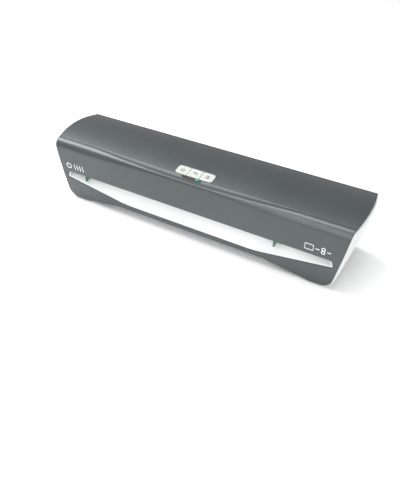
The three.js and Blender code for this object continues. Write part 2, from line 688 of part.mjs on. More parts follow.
function thermostat() {
  const { y, z } = ROLLERS.upper_hot;
  const base = z + SHOE.outer + GAP;
  return turnedUp([[base, 0], [base, 8], [base + 1.6, 8], [base + 1.6, 6.4], [base + 7, 6.4], [base + 7, 0]], 0, y, 16);
}

// ---- Assembly ------------------------------------------------------------------------------------------
add("top_cover", topCover(), MAT.cover);
add("left_end_cap", endCap(-1), MAT.body);
add("right_end_cap", endCap(1), MAT.body);
add("rear_panel", rearPanel(), MAT.body);
add("base_plate", basePlate(), MAT.body);
add("lower_entry_guide", lowerEntryGuide(), MAT.body);
add("upper_entry_guide", upperEntryGuide(), MAT.body);
add("lower_exit_guide", exitGuide(-1), MAT.body);
add("upper_exit_guide", exitGuide(1), MAT.body);
add("left_pouch_guide", pouchGuide(-1, FENCES.left), MAT.green);
add("right_pouch_guide", pouchGuide(1, FENCES.right), MAT.green);

BUTTONS.forEach((name, i) => {
  add(name, button(i), MAT.button, tilted);
  add(name.replace("button", "switch"), tactSwitch(i), MAT.black, tilted);
});
add("status_light_strip", lightStrip(), MAT.dark, tilted);
add("control_board", controlBoard(), MAT.board, tilted);
add("green_light", lightChip(8), MAT.green, tilted);
add("red_light", lightChip(-3), MAT.red, tilted);

for (const [side, name] of [[-1, "left"], [1, "right"]]) {
  add(name + "_side_frame", sideFrame(side), MAT.zinc);
  add(name + "_pressure_spring", pressureSpring(side), MAT.steel);
}
for (const [name, y, z] of [["front_tie_bar", -23, 74], ["rear_tie_bar", 34, 66]]) {
  const [x, r] = [FRAME_X - GAP, 4];
  add(name, turned([[-x, 0], [-x, r], [x, r], [x, 0]], y, z, 16), MAT.steel);
}
for (const [name, roller] of Object.entries(ROLLERS)) {
  add(name + "_shaft", shaft(roller), MAT.steel);
  add(name + "_sleeve", sleeve(roller), MAT.silicone);
  add(name + "_left_bush", bush(-1, roller), MAT.bronze);
  add(name + "_right_bush", bush(1, roller), MAT.bronze);
}

const firstPhase = Math.PI / 2;
const { lower_hot, upper_hot, lower_pull, upper_pull } = ROLLERS;
const upperPhase = meshPhase(lower_hot, firstPhase, upper_hot);
const idlerPhase = meshPhase(lower_hot, firstPhase, IDLER);
const pullPhase = meshPhase(IDLER, idlerPhase, lower_pull);
add("lower_hot_gear", gear(lower_hot, firstPhase, BORE_R), MAT.nylon);
add("upper_hot_gear", gear(upper_hot, upperPhase, BORE_R), MAT.nylon);
add("idler_gear", gear(IDLER, idlerPhase, PIN_R + 0.1), MAT.nylon);
add("lower_pull_gear", gear(lower_pull, pullPhase, BORE_R), MAT.nylon);
add("upper_pull_gear", gear(upper_pull, meshPhase(lower_pull, pullPhase, upper_pull), BORE_R), MAT.nylon);
add("motor_pinion", motorPinion(meshPhase(upper_hot, upperPhase, PINION)), MAT.bronze);
add("idler_pin", turned([[FRAME_X - 1, 0], [FRAME_X - 1, PIN_R], [GEAR_X + GEAR_W + 1, PIN_R],
  [GEAR_X + GEAR_W + 1, 0]], IDLER.y, IDLER.z, 16), MAT.steel);
add("drive_motor", motor(), MAT.zinc);

add("lower_heater_shoe", heaterShoe(lower_hot, -1), MAT.aluminium);
add("upper_heater_shoe", heaterShoe(upper_hot, 1), MAT.aluminium);
add("thermostat", thermostat(), MAT.black);
add("power_board", powerBoard(), MAT.board);
add("mains_inlet", mainsInlet(), MAT.black);

feetPlaces().forEach(([x, y]) => {
  const name = (y < 0 ? "front_" : "rear_") + (x < 0 ? "left" : "right") + "_foot";
  add(name, turnedUp([[0, 0], [0, FOOT.r - 1], [1, FOOT.r], [3.1, FOOT.r], [3.1, 0]], x, y), MAT.rubber);
});

export default root;
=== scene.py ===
"""Looks of the pouch laminator: smooth shells, buttons, lights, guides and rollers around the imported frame.

The cover and the end caps follow one rule, worked by one Geometry Nodes tree: a section that blends from
the ends to the bowed middle, on ends that lean in downwards and bow out at mid-depth.
Lengths are written in millimetres and turned to metres where a mesh is made.
"""
import json
import math

import bmesh
import bpy
from mathutils import Matrix, Vector


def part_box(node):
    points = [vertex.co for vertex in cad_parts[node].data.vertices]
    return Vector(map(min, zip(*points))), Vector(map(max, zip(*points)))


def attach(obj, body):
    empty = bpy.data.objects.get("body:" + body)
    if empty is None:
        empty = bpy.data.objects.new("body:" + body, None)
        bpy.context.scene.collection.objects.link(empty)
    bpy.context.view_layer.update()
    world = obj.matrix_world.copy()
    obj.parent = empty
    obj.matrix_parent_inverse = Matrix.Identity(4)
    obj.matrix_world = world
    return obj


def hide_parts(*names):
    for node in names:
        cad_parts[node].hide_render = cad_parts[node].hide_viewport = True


MM = 0.001
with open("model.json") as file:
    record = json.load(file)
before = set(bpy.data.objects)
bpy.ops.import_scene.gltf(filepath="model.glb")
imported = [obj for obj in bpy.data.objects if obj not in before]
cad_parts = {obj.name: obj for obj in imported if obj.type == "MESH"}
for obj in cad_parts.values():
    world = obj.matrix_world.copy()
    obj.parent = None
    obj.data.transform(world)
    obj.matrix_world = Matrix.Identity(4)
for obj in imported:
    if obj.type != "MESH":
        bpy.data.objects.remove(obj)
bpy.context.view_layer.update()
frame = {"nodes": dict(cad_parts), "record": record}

# ---- Driving sizes, mm: the same rule as the frame's cover -----------------------------------------------
WALL = 2.5
GAP = 0.3
FRONT_Y, REAR_Y = -51.5, 51.5
END_X, END_TAPER, END_BULGE, TOP_Z = 226.5, 16.0, 4.5, 94.0
CREASE_Y, CREASE_Z, CROWN = -40.3, 93.4, 5.1
RIDGE_END_Y, RIDGE_BOW, RIDGE_STEP, BOW_SPAN = -38.6, 10.2, 2.0, 160.0
BULGE_DEPTH = 44.0
REAR_ROUND, REAR_EDGE_Z = 3.2, 84.0
LIP_Z = 46.5
MOUTH = dict(top_x=208, end_x=211.5, end_z=35.8, flat_x=104, flat_z=19)
ARCH = dict(corner_x=197, corner_z=2, corner_r=17, flat_x=118, flat_z=12)
TRACK_Y = -35.4
SHELF_Z, ROOF_Z, RAMP_END_Y, SHELF_END_Y, GUIDE_X = 39.3, 44.8, -33.0, -16.0, 183.0
BAR = dict(x=3, y=-30.5, z=95.2, tilt=10.3, length=57, depth=15.4, round=4.0, proud=0.8)
STRIP = dict(x=0, y=-10.2, length=29, depth=2.4)
KEY_PITCH, KEY_GAP = BAR["length"] / 3, 0.5
CAP_LIP = 5.0
PANEL_Y, PANEL_LOW, PANEL_TOP = REAR_Y - 0.2, 3.0, REAR_EDGE_Z - GAP - 0.2
EXIT_SLOT = dict(z=41.6, length=362, height=14)
REAR_VENTS = dict(first=50, pitch=10, z=66, width=3.2, height=16)
PLATE_LOW, PLATE_T = 2.5, 2.5
FOOT = dict(x=182, y=36, r=8)


# ---- Materials -------------------------------------------------------------------------------------------
def linear(code):
    """An sRGB hex colour as linear red, green, blue and alpha."""
    channels = [int(code[i : i + 2], 16) / 255 for i in (1, 3, 5)]
    return (*[c / 12.92 if c <= 0.04045 else ((c + 0.055) / 1.055) ** 2.4 for c in channels], 1.0)


def add_node(tree, kind, inputs=None, **settings):
    """Adds a node, with its settings, and its inputs as values or as links from other nodes' outputs."""
    made = tree.nodes.new(kind)
    for name, value in settings.items():
        setattr(made, name, value)
    for name, value in (inputs or {}).items():
        if isinstance(value, bpy.types.NodeSocket):
            tree.links.new(value, made.inputs[name])
        else:
            made.inputs[name].default_value = value
    return made


def shader_of(name, colour, roughness, **sockets):
    """A new material with its Principled shader: returns the material, its tree and the shader."""
    made = bpy.data.materials.new(name)
    made.use_nodes = True
    tree = made.node_tree
    shader = tree.nodes["Principled BSDF"]
    shader.inputs["Base Color"].default_value = linear(colour)
    shader.inputs["Roughness"].default_value = roughness
    for socket, value in sockets.items():
        shader.inputs[socket.replace("_", " ")].default_value = value
    return made, tree, shader


def spread(tree, factor, low, high):
    """A colour between two hex colours, by a 0 to 1 factor."""
    ramp = add_node(tree, "ShaderNodeValToRGB", {"Fac": factor})
    ramp.color_ramp.elements[0].color = linear(low)
    ramp.color_ramp.elements[1].color = linear(high)
    ramp.color_ramp.elements[0].position = 0.3
    ramp.color_ramp.elements[1].position = 0.7
    return ramp.outputs["Color"]


def grain(tree, size, detail=2.0, stretch=(1, 1, 1)):
    """Noise whose grains are about size mm across, on Object coordinates."""
    coords = add_node(tree, "ShaderNodeTexCoord")
    scaled = add_node(tree, "ShaderNodeMapping", {"Vector": coords.outputs["Object"], "Scale": stretch})
    values = {"Vector": scaled.outputs["Vector"], "Scale": 1 / (size * MM), "Detail": detail}
    return add_node(tree, "ShaderNodeTexNoise", values).outputs["Fac"]


def relief(tree, shader, height, depth):
    """Bump of a depth in mm."""
    bump = add_node(tree, "ShaderNodeBump", {"Height": height, "Distance": depth * MM, "Strength": 1.0})
    tree.links.new(bump.outputs["Normal"], shader.inputs["Normal"])


def scaled_range(tree, value, low, high):
    """A 0 to 1 value spread between low and high."""
    made = add_node(tree, "ShaderNodeMapRange", {"Value": value, "To Min": low, "To Max": high})
    return made.outputs["Result"]


def moulded(name, low, high, roughness, grain_size=0.9, depth=0.012, **sockets):
    """Injection-moulded plastic: a fine spark-eroded grain, and a faint cloudiness a few centimetres across.
    The real grain is near 0.1 mm and is drawn coarser, so that it shows."""
    made, tree, shader = shader_of(name, low, roughness, **sockets)
    tree.links.new(spread(tree, grain(tree, 60, 1.0), low, high), shader.inputs["Base Color"])
    fine = grain(tree, grain_size)
    tree.links.new(scaled_range(tree, fine, roughness - 0.05, roughness + 0.05), shader.inputs["Roughness"])
    relief(tree, shader, fine, depth)
    return made


def graphite_abs():
    """ABS moulded in graphite grey with aluminium flake: a satin sheen that reads as metal."""
    made, tree, shader = shader_of("graphite_flake_abs", "#4c5253", 0.42, Metallic=0.6, Coat_Weight=0.4,
                                   Coat_Roughness=0.22)
    cloud = spread(tree, grain(tree, 90, 1.0), "#4a5052", "#505658")
    flakes = add_node(tree, "ShaderNodeTexVoronoi", {"Scale": 1 / (0.8 * MM)})
    coords = add_node(tree, "ShaderNodeTexCoord")
    tree.links.new(coords.outputs["Object"], flakes.inputs["Vector"])
    light = scaled_range(tree, flakes.outputs["Distance"], 1.1, 0.9)
    tinted = add_node(tree, "ShaderNodeVectorMath", {0: cloud}, operation="SCALE")
    tree.links.new(light, tinted.inputs["Scale"])
    tree.links.new(tinted.outputs["Vector"], shader.inputs["Base Color"])
    fine = grain(tree, 0.9)
    tree.links.new(scaled_range(tree, fine, 0.36, 0.46), shader.inputs["Roughness"])
    relief(tree, shader, fine, 0.01)
    return made


def metal(name, colour, roughness, stretch=(1, 1, 1), size=0.6, depth=0.01):
    """Bare metal with a drawn or turned grain: the grain is long where stretch is small."""
    made, tree, shader = shader_of(name, colour, roughness, Metallic=1.0)
    lines = grain(tree, size, 3.0, stretch)
    tree.links.new(scaled_range(tree, lines, roughness - 0.1, roughness + 0.12), shader.inputs["Roughness"])
    relief(tree, shader, lines, depth)
    return made


def circuit_board():
    """Glass-fibre board under green solder resist: copper tracks show as slightly lighter bands."""
    made, tree, shader = shader_of("green_resist_board", "#1f5c3a", 0.35)
    coords = add_node(tree, "ShaderNodeTexCoord")
    values = {"Vector": coords.outputs["Object"], "Scale": 1 / (8 * MM), "Color1": linear("#1f5c3a"),
              "Color2": linear("#1b5235"), "Mortar": linear("#3a8058"), "Mortar Size": 0.06}
    tracks = add_node(tree, "ShaderNodeTexBrick", values)
    tree.links.new(tracks.outputs["Color"], shader.inputs["Base Color"])
    relief(tree, shader, tracks.outputs["Fac"], 0.05)
    return made


def lit(name, colour, strength):
    """A light chip's coloured lens, lit from inside; a low strength is a faint painted glow on a lens whose
    light is off.
    """
    made, tree, shader = shader_of(name, colour, 0.25, Emission_Strength=strength)
    shader.inputs["Emission Color"].default_value = linear(colour)
    relief(tree, shader, grain(tree, 0.5), 0.02)
    return made


def clear_green():
    """Green translucent polycarbonate, moulded and polished: light passes through the thin fence."""
    made, tree, shader = shader_of("translucent_green_polycarbonate", "#1e8a60", 0.18, IOR=1.58,
                                   Transmission_Weight=0.35, Subsurface_Weight=0.2)
    relief(tree, shader, grain(tree, 1.5), 0.01)
    return made


COVER = graphite_abs()
BODY = moulded("light_grey_abs", "#e4e7e6", "#eaecec", 0.42)
KEYS = moulded("off_white_key_abs", "#bcbeb9", "#c2c4bf", 0.34, 0.7, 0.008)
PRINT = moulded("dark_pad_print", "#3b3f41", "#44484a", 0.5, 0.5, 0.004)
WHITE_PRINT = moulded("white_pad_print", "#e9eceb", "#f2f4f3", 0.5, 0.5, 0.004)
BLACK = moulded("matt_black_abs", "#191a1b", "#202122", 0.55)
SMOKED = moulded("smoked_lens_acrylic", "#1d2122", "#23282a", 0.12, 2.0, 0.004, Coat_Weight=0.5)
NYLON = moulded("natural_nylon", "#e3ddc8", "#eae5d3", 0.5)
SILICONE = moulded("red_brown_silicone", "#a8402c", "#b04934", 0.75, 0.5, 0.03)
RUBBER = moulded("matt_black_rubber", "#202122", "#282a2b", 0.85, 0.6, 0.04)
GREEN = clear_green()
GREEN_LIT = lit("green_light_lens", "#1fa873", 1.2)
# the red light is off: its faint emission is a painted glow, not light from the chip
RED_OFF_PAINTED_GLOW = lit("red_light_lens_painted_glow", "#7a2d2d", 0.08)
BOARD = circuit_board()
ZINC = metal("zinc_plated_sheet_steel", "#a9aeb0", 0.42, (1, 1, 1), 6.0, 0.004)
STEEL = metal("ground_bright_steel", "#b6babd", 0.28, (0.05, 1, 1), 0.5)
ALUMINIUM = metal("drawn_aluminium", "#cdd0d2", 0.42, (0.03, 1, 1), 0.8)
BRONZE = metal("sintered_bronze", "#a98652", 0.5, (1, 1, 1), 0.4, 0.02)

CAD_FINISHES = {
    "cover": COVER, "body": BODY, "guide_green": GREEN, "button": KEYS, "black_plastic": BLACK,
    "strip": SMOKED, "board": BOARD, "green_lens": GREEN_LIT, "red_lens": RED_OFF_PAINTED_GLOW, "zinc_steel": ZINC,
    "steel": STEEL, "silicone": SILICONE, "bronze": BRONZE, "nylon": NYLON, "heater": ALUMINIUM,
    "rubber": RUBBER,
}


def dress_cad_nodes():
    """Every carried-over frame node takes its slot's finish."""
    for row in frame["record"]["subparts"]:
        node = frame["nodes"][row["node"]]
        node.data.materials.clear()
        node.data.materials.append(CAD_FINISHES[row["material_slot"]])


# ---- Mesh helpers ----------------------------------------------------------------------------------------
def mesh_piece(name, verts, faces, finish):
    """A mesh object from points in mm."""
    mesh = bpy.data.meshes.new(name)
    mesh.from_pydata([Vector(v) * MM for v in verts], [], faces)
    mesh.validate()
    made = bpy.data.objects.new(name, mesh)
    bpy.context.scene.collection.objects.link(made)
    mesh.materials.append(finish)
    shade(made)
    return made


def shade(obj, degrees=35):
    """Smooth shading, with sharp edges where faces meet at more than this angle."""
    mesh = obj.data
    mesh.shade_smooth()
    mesh.set_sharp_from_angle(angle=math.radians(degrees))


def baked(obj):
    """Applies the object's modifiers to its mesh."""
    graph = bpy.context.evaluated_depsgraph_get()
    final = bpy.data.meshes.new_from_object(obj.evaluated_get(graph), depsgraph=graph)
    obj.modifiers.clear()
    obj.data = final
    shade(obj)
    return obj


def place(obj, body, slot, *nodes):
    """Puts a finished piece on its body and hides the frame nodes that it stands for. Its slot is not used.
    """
    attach(obj, body)
    if nodes:
        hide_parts(*nodes)
    return obj


def boolean(obj, cutter, operation="DIFFERENCE"):
    """Cuts obj with a closed mesh, or joins the two, and removes that mesh."""
    step = obj.modifiers.new("cut", "BOOLEAN")
    step.object = cutter
    step.operation = operation
    step.solver = "EXACT"
    baked(obj)
    bpy.data.objects.remove(cutter)
    return obj


def bevel(obj, width):
    """Rounds the sharp edges of obj, by a width in mm."""
    step = obj.modifiers.new("edge", "BEVEL")
    step.width = width * MM
    step.segments = 2
    step.limit_method = "ANGLE"
    step.angle_limit = math.radians(50)
    step.use_clamp_overlap = True
    return baked(obj)


def fillet(corners, steps):
    """A closed 2-D outline from (a, b, radius) corners, each rounded by an arc."""
    outline = []
    count = len(corners)
    for i, (a, b, radius) in enumerate(corners):
        here = Vector((a, b))
        before = (Vector(corners[i - 1][:2]) - here).normalized()
        after = (Vector(corners[(i + 1) % count][:2]) - here).normalized()
        if radius <= 0:
            outline.append((a, b))
            continue
        half = before.angle(after) / 2
        reach = radius / math.tan(half)
        centre = here + (before + after).normalized() * radius / math.sin(half)
        start, end = here + before * reach - centre, here + after * reach - centre
        turn = start.angle_signed(end)
        for k in range(steps + 1):
            spot = start.copy()
            spot.rotate(Matrix.Rotation(-turn * k / steps, 2))
            outline.append(tuple(centre + spot))
    return outline


def rect(a, b, width, height, radius, steps=6):
    """A rectangle with round corners, centred on (a, b), anticlockwise."""
    w, h = width / 2, height / 2
    corners = [(a + w, b + h), (a - w, b + h), (a - w, b - h), (a + w, b - h)]
    return fillet([(*corner, radius) for corner in corners], steps)


def prism(name, outline, low, high, lift, finish=BODY):
    """A closed solid of a 2-D outline between two levels; lift turns (a, b, level) into a point."""
    count = len(outline)
    verts = [lift(a, b, low) for a, b in outline] + [lift(a, b, high) for a, b in outline]
    sides = [(i, (i + 1) % count, count + (i + 1) % count, count + i) for i in range(count)]
    faces = sides + [tuple(reversed(range(count))), tuple(range(count, 2 * count))]
    made = mesh_piece(name, verts, faces, finish)
    outward(made)
    return made


def arc(a, b, radius, start, end, steps=16):
    """Points on an arc round (a, b), between two angles in degrees."""
    angles = [math.radians(start + (end - start) * i / steps) for i in range(steps + 1)]
    return [(a + radius * math.cos(angle), b + radius * math.sin(angle)) for angle in angles]


def outward(obj, merge=False):
    """Turns the faces of a closed mesh outwards, once double points are merged where merge says so."""
    work = bmesh.new()
    work.from_mesh(obj.data)
    if merge:
        bmesh.ops.remove_doubles(work, verts=work.verts, dist=1e-6)
    bmesh.ops.recalc_face_normals(work, faces=work.faces)
    work.to_mesh(obj.data)
    work.free()


along_y = lambda a, b, level: (a, level, b)
along_x = lambda a, b, level: (level, a, b)
upright = lambda a, b, level: (a, b, level)
SLOPE = Matrix.Rotation(math.radians(BAR["tilt"]), 4, "X")
TILT = Matrix.Translation((BAR["x"], BAR["y"], BAR["z"])) @ SLOPE
on_slope = lambda a, b, level: tuple(TILT @ Vector((a, b, level)))


def quads(rings, count):
    """The faces between closed rings of count points each."""
    faces = []
    for i in range(rings - 1):
        for j in range(count):
            a, b = i * count + j, i * count + (j + 1) % count
            faces.append((a, b, b + count, a + count))
    return faces


def loft(name, rings, finish):
    """A closed skin through rings of points, with its first and last ring filled."""
    count = len(rings[0])
    verts = [p for ring in rings for p in ring]
    faces = quads(len(rings), count)
    faces.append(tuple(reversed(range(count))))
    faces.append(tuple(range((len(rings) - 1) * count, len(rings) * count)))
    made = mesh_piece(name, verts, faces, finish)
    outward(made)
    shade(made, 50)
    return made


def turned(name, profile, centre, finish, axis, steps):
    """A turned piece: profile is (station, radius) in mm along the axis, which passes through centre."""
    lift = along_x if axis == "X" else upright
    angles = [2 * math.pi * k / steps for k in range(steps)]
    rings = []
    for station, radius in profile:
        spots = [(centre[0] + radius * math.cos(a), centre[1] + radius * math.sin(a)) for a in angles]
        rings.append([lift(u, v, station) for u, v in spots])
    return loft(name, rings, finish)


# ---- The rule of the cover -------------------------------------------------------------------------------
def front_face(z):
    """How far forward the front stands at a height."""
    return FRONT_Y + 1.5 * ((z - 60) / 60) ** 2


def crown(y):
    """Height of the crowned top."""
    return CREASE_Z + CROWN * (1 - ((y - 4) / (4 - CREASE_Y)) ** 2)


def end_at(y, z):
    """Half length of the machine at a point of the section."""
    lean = END_TAPER * max(0, 1 - z / TOP_Z) ** 1.2
    bow = END_BULGE * max(0, 1 - (y / BULGE_DEPTH) ** 2) * min(1, max(0, z / TOP_Z))
    return END_X - lean + bow


def cover_section(bow):
    """The outer section, (y, z), from the front lower edge over the top to the rear edge."""
    ridge_y = RIDGE_END_Y - RIDGE_BOW * bow
    crease_y = max(CREASE_Y, ridge_y + 0.8)
    ridge_z = crown(crease_y) - 0.15 - RIDGE_STEP * bow
    drop = 13 - 7 * bow
    corner_z = ridge_z - drop
    face_y = front_face(corner_z)
    heights = [1 + (corner_z - 1) * i / 20 for i in range(20)]
    points = [(front_face(z), z) for z in heights]
    for i in range(13):
        a = math.radians(90 * i / 12)
        points.append((ridge_y - (ridge_y - face_y) * math.cos(a), corner_z + drop * math.sin(a)))
    ledge, rise = crease_y - ridge_y, crown(crease_y) - ridge_z
    climb = ((0.3, 0.17), (0.6, 0.37), (0.84, 0.56), (0.9, 0.66), (0.94, 0.83), (0.975, 0.95))
    for share, climbed in climb:
        points.append((ridge_y + ledge * share, ridge_z + rise * climbed))
    rear_y = REAR_Y - REAR_ROUND
    for share in [0, 0.01, 0.03] + [i / 18 for i in range(1, 19)]:
        y = crease_y + (rear_y - crease_y) * share
        points.append((y, crown(y)))
    points += arc(rear_y, crown(rear_y) - REAR_ROUND, REAR_ROUND, 90, 0, 8)[1:]
    points += [(REAR_Y, REAR_EDGE_Z + 3), (REAR_Y, REAR_EDGE_Z)]
    return points


def inset(line, distance, reach=1):
    """The same open line moved inwards. A longer reach, in points, evens out its small steps."""
    moved = []
    for i, (y, z) in enumerate(line):
        (y0, z0), (y1, z1) = line[max(0, i - reach)], line[min(len(line) - 1, i + reach)]
        length = math.hypot(y1 - y0, z1 - z0)
        moved.append((y + distance * (z1 - z0) / length, z - distance * (y1 - y0) / length))
    return moved


def new_tree(name, sizes):
    """A Geometry Nodes tree with a geometry, sizes and a material going in, and a geometry coming out."""
    tree = bpy.data.node_groups.new(name, "GeometryNodeTree")
    add_socket = tree.interface.new_socket
    add_socket(name="Geometry", in_out="INPUT", socket_type="NodeSocketGeometry")
    for size in sizes:
        add_socket(name=size, in_out="INPUT", socket_type="NodeSocketFloat")
    add_socket(name="Material", in_out="INPUT", socket_type="NodeSocketMaterial")
    add_socket(name="Geometry", in_out="OUTPUT", socket_type="NodeSocketGeometry")
    return tree, add_node(tree, "NodeGroupInput").outputs


def finish_tree(tree, last, material):
    """Gives the last node's geometry its material, and sends it out of the tree."""
    done = add_node(tree, "GeometryNodeSetMaterial", {"Geometry": last.outputs[0], "Material": material})
    add_node(tree, "NodeGroupOutput", {"Geometry": done.outputs[0]})


def shell_rule():
    """Geometry Nodes tree that turns a blank into a shell: each point of the blank is (share of the half
    length, y, z) of the end section, its attribute mid is the middle section, and out is how far it
    stands out from the end."""
    sizes = {"Half length": END_X, "Lean": END_TAPER, "Lean height": TOP_Z, "Bulge": END_BULGE,
             "Bulge half depth": BULGE_DEPTH, "Bow half span": BOW_SPAN}
    tree, given = new_tree("shell_rule", sizes)

    def calc(operation, a, b=0.0, clamp=False):
        return add_node(tree, "ShaderNodeMath", {0: a, 1: b}, operation=operation, use_clamp=clamp).outputs[0]

    def read(name, kind):
        made = add_node(tree, "GeometryNodeInputNamedAttribute", {"Name": name}, data_type=kind)
        return made.outputs["Attribute"]

    blank = add_node(tree, "GeometryNodeInputPosition").outputs[0]
    share = add_node(tree, "ShaderNodeSeparateXYZ", {0: blank}).outputs[0]
    along = calc("DIVIDE", calc("MULTIPLY", share, given["Half length"]), given["Bow half span"])
    bow = calc("POWER", calc("MAXIMUM", calc("SUBTRACT", 1.0, calc("MULTIPLY", along, along)), 0.0), 1.2)
    # a mix of vectors takes them at its inputs 4 and 5, and gives the result at its output 1
    mixed = add_node(tree, "ShaderNodeMix", {"Factor": bow}, data_type="VECTOR")
    tree.links.new(blank, mixed.inputs[4])
    tree.links.new(read("mid", "FLOAT_VECTOR"), mixed.inputs[5])
    section = add_node(tree, "ShaderNodeSeparateXYZ", {0: mixed.outputs[1]}).outputs
    height = calc("DIVIDE", section[2], given["Lean height"])
    fall = calc("POWER", calc("MAXIMUM", calc("SUBTRACT", 1.0, height), 0.0), 1.2)
    side = calc("DIVIDE", section[1], given["Bulge half depth"])
    swell = calc("MAXIMUM", calc("SUBTRACT", 1.0, calc("MULTIPLY", side, side)), 0.0)
    swell = calc("MULTIPLY", swell, calc("ADD", height, 0.0, clamp=True))
    reach = calc("SUBTRACT", given["Half length"], calc("MULTIPLY", given["Lean"], fall))
    reach = calc("ADD", reach, calc("MULTIPLY", given["Bulge"], swell))
    outwards = calc("ADD", calc("MULTIPLY", share, reach), read("out", "FLOAT"))
    spot = add_node(tree, "ShaderNodeCombineXYZ", {0: outwards, 1: section[1], 2: section[2]})
    values = {"Geometry": given["Geometry"], "Position": spot.outputs[0]}
    moved = add_node(tree, "GeometryNodeSetPosition", values)
    finish_tree(tree, moved, given["Material"])
    return tree, sizes


SHELL_RULE, SHELL_SIZES = shell_rule()


def run_tree(obj, tree, values):
    """Runs a Geometry Nodes tree on obj with named inputs, and keeps the result as a plain mesh."""
    step = obj.modifiers.new(tree.name, "NODES")
    step.node_group = tree
    for item in tree.interface.items_tree:
        if item.in_out == "INPUT" and item.name in values:
            step[item.identifier] = values[item.name]
    return baked(obj)


def shelled(name, blank, faces, finish):
    """A shell by the rule: blank is a list of (share, end y, end z, mid y, mid z, out), in mm."""
    mesh = bpy.data.meshes.new(name)
    mesh.from_pydata([(share, y * MM, z * MM) for share, y, z, *_ in blank], [], faces)
    mesh.attributes.new("mid", "FLOAT_VECTOR", "POINT")
    mesh.attributes.new("out", "FLOAT", "POINT")
    for i, (share, _, _, y, z, distance) in enumerate(blank):
        mesh.attributes["mid"].data[i].vector = (share, y * MM, z * MM)
        mesh.attributes["out"].data[i].value = distance * MM
    made = bpy.data.objects.new(name, mesh)
    bpy.context.scene.collection.objects.link(made)
    mesh.materials.append(finish)
    values = {size: value * MM for size, value in SHELL_SIZES.items()}
    values["Material"] = finish
    run_tree(made, SHELL_RULE, values)
    outward(made)
    shade(made)
    return made


# ---- Cover -----------------------------------------------------------------------------------------------
def mouth_outline():
    """The front opening: a level lip over a floor that falls softly towards the middle."""
    m = MOUTH
    half = [(m["top_x"], LIP_Z, 1.2), (m["end_x"], m["end_z"], 1.6), (m["flat_x"], m["flat_z"], 90)]
    (top, end, flat), (far_top, far_end, far_flat) = half, [(-x, z, radius) for x, z, radius in half]
    return fillet([top, far_top, far_end, far_flat, flat, end], 10)


def arch_outline():
    """What is cut away under the front. Its round corners run on from the leaning ends."""
    a = ARCH
    beyond, high, low = 240, 30, a["corner_z"]
    side_high, side_low = end_at(-50, high) + 0.4, end_at(-50, low) + 0.1
    half = [(beyond, -10, 0), (beyond, high, 0), (side_high, high, 0), (side_low, low, a["corner_r"]),
            (a["corner_x"] - 13, low, 8), (a["flat_x"], a["flat_z"], 90)]
    return fillet(half + [(-x, z, radius) for x, z, radius in reversed(half)], 12)


def top_cover():
    """The wrap-round cover: front, top and turned-down rear in one moulding."""
    ends, middle = cover_section(0.0), cover_section(1.0)
    loop_end = ends + inset(ends, WALL, 6)[::-1]
    loop_mid = middle + inset(middle, WALL, 6)[::-1]
    shares = [math.sin(math.pi / 2 * i / 90) * 0.25 + 0.75 * i / 90 for i in range(-90, 91)]
    blank = [(t, ye, ze, ym, zm, 0.0) for t in shares for (ye, ze), (ym, zm) in zip(loop_end, loop_mid)]
    count = len(loop_end)
    faces = quads(len(shares), count)
    for start in (0, (len(shares) - 1) * count):
        for j in range(count // 2 - 1):
            faces.append((start + j, start + j + 1, start + count - 2 - j, start + count - 1 - j))
    made = shelled("wrap_cover", blank, faces, COVER)
    boolean(made, prism("mouth_cut", mouth_outline(), -60, -40, along_y))
    boolean(made, prism("arch_cut", arch_outline(), -60, -30, along_y))
    bar = rect(0, 0, BAR["length"] + 1, BAR["depth"] + 1, BAR["round"] + 0.5)
    boolean(made, prism("bar_cut", bar, -8, 8, on_slope))
    strip = rect(STRIP["x"], STRIP["y"], STRIP["length"] + 0.6, STRIP["depth"] + 0.6, 1.4)
    boolean(made, prism("strip_cut", strip, -8, 8, on_slope))
    bevel(made, 0.35)
    return place(made, "housing", "cover", "top_cover")


# ---- Light inner body ------------------------------------------------------------------------------------
def cap_section():
    """The outline of an end cap, (y, z), closed."""
    under = [p for p in inset(cover_section(0.0), WALL + GAP) if p[1] > 13][:-2]
    line = [p for p in under if p[1] > REAR_EDGE_Z + 1 or p[0] < 0]
    inner_y, chamfer = REAR_Y - WALL - GAP, 0.6
    line += [(inner_y, PANEL_TOP + chamfer), (inner_y + chamfer, PANEL_TOP)]
    line += [(PANEL_Y - chamfer, PANEL_TOP), (PANEL_Y, PANEL_TOP - chamfer)]
    line += [(PANEL_Y, z) for z in (70, 55, 40, 25, 12)]
    line += arc(PANEL_Y - 3, 5.5, 3, 0, -90, 6)
    line += [(y, PLATE_LOW) for y in (30, 15, 0, -15, -30)]
    return line + arc(-37.5, 12.5, 10, -90, -180, 6)


def end_cap(name, side):
    """An end cap: a shallow bulged cover that fills the end of the wrap."""
    line = cap_section()
    middle = 48
    # scale of the outline about its middle, and distance out from the cover's rim
    layers = [(0.02, -0.1), (0.6, -0.1), (0.93, -0.8), (0.94, -CAP_LIP), (1, -CAP_LIP)]
    layers += [(1, 0.3), (0.997, 0.75), (0.99, 1.2), (0.98, 1.6), (0.96, 2.05), (0.92, 2.4), (0.8, 2.65)]
    layers += [(0.5, 2.78), (0.2, 2.8), (0.02, 2.8)]
    blank = []
    for scale, out in layers:
        for across, up in line:
            y, z = scale * across, middle + scale * (up - middle)
            blank.append((side, y, z, y, z, side * out))
    count = len(line)
    faces = quads(len(layers), count)
    faces += [tuple(range(count)), tuple(range((len(layers) - 1) * count, len(layers) * count))]
    made = shelled(name + "_shell", blank, faces, BODY)
    return place(made, "housing", "body", name)


